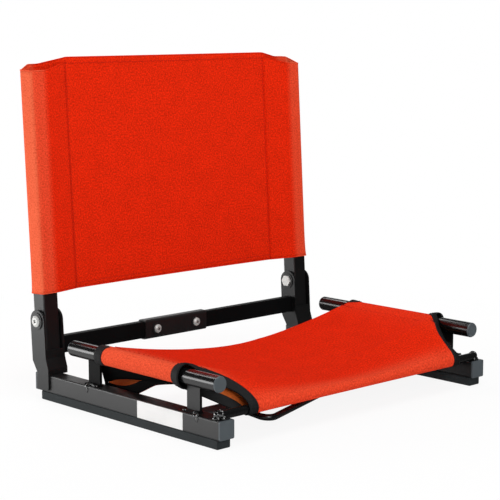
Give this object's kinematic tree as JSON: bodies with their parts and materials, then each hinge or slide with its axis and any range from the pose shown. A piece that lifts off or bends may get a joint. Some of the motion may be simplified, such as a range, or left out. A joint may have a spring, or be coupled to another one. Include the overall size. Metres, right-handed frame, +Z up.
{
  "type": "stadium chair",
  "caption": "Folding bleacher seat: a low tube frame with a red cloth sling seat, a hinged sling back and a swing-down hook that grips a bench.",
  "frame": {"origin": "on the floor, under the middle of the chair's outline seen from above", "axes": "+X to the right side seen from the front, -Y to the front where the sitter's legs go, +Z up"},
  "size_m": [0.553, 0.4226, 0.4904],
  "materials": {
    "black_enamel": "satin black baked enamel on steel tube",
    "sleeve_enamel": "dark grey enamel",
    "plug_plastic": "moulded grey plastic",
    "foot_rubber": "matte dark rubber",
    "zinc_steel": "zinc-plated steel",
    "washer_nylon": "black nylon",
    "red_cloth": "plain-woven coated polyester with black binding tape"
  },
  "bodies": {
    "base_frame": {"left_base_rail": "black_enamel", "right_base_rail": "black_enamel", "left_seat_rod": "black_enamel", "right_seat_rod": "black_enamel", "left_front_post": "black_enamel", "right_front_post": "black_enamel", "left_rear_post": "black_enamel", "right_rear_post": "black_enamel", "front_crossbar": "black_enamel", "front_cross_strap": "black_enamel", "left_hinge_bracket": "black_enamel", "right_hinge_bracket": "black_enamel", "rear_bar_left": "black_enamel", "rear_bar_right": "black_enamel", "hook_clips": "black_enamel", "splice_sleeve": "sleeve_enamel", "rail_end_plugs": "plug_plastic", "seat_rod_plugs": "plug_plastic", "left_foot_strip": "foot_rubber", "right_foot_strip": "foot_rubber", "pivot_bolts": "zinc_steel", "pivot_nuts": "zinc_steel", "splice_bolts": "zinc_steel", "splice_nuts": "zinc_steel", "pivot_washers": "washer_nylon", "pivot_spacers": "washer_nylon", "splice_washers": "washer_nylon", "seat_sling": "red_cloth"},
    "backrest": {"left_upright": "black_enamel", "right_upright": "black_enamel", "upright_plugs": "plug_plastic", "back_sling": "red_cloth"},
    "hook_bail": {"bench_hook": "black_enamel"}
  },
  "joints": [
    {"name": "back_fold", "type": "hinge", "parent": "base_frame", "child": "backrest", "pos_m": [0, 0.17469, 0.115], "axis": [1, 0, 0], "range_deg": [0, 93]},
    {"name": "hook_swing", "type": "hinge", "parent": "base_frame", "child": "hook_bail", "pos_m": [-0.0875, -0.15131, 0.028], "axis": [1, 0, 0], "range_deg": [0, 86]}
  ]
}
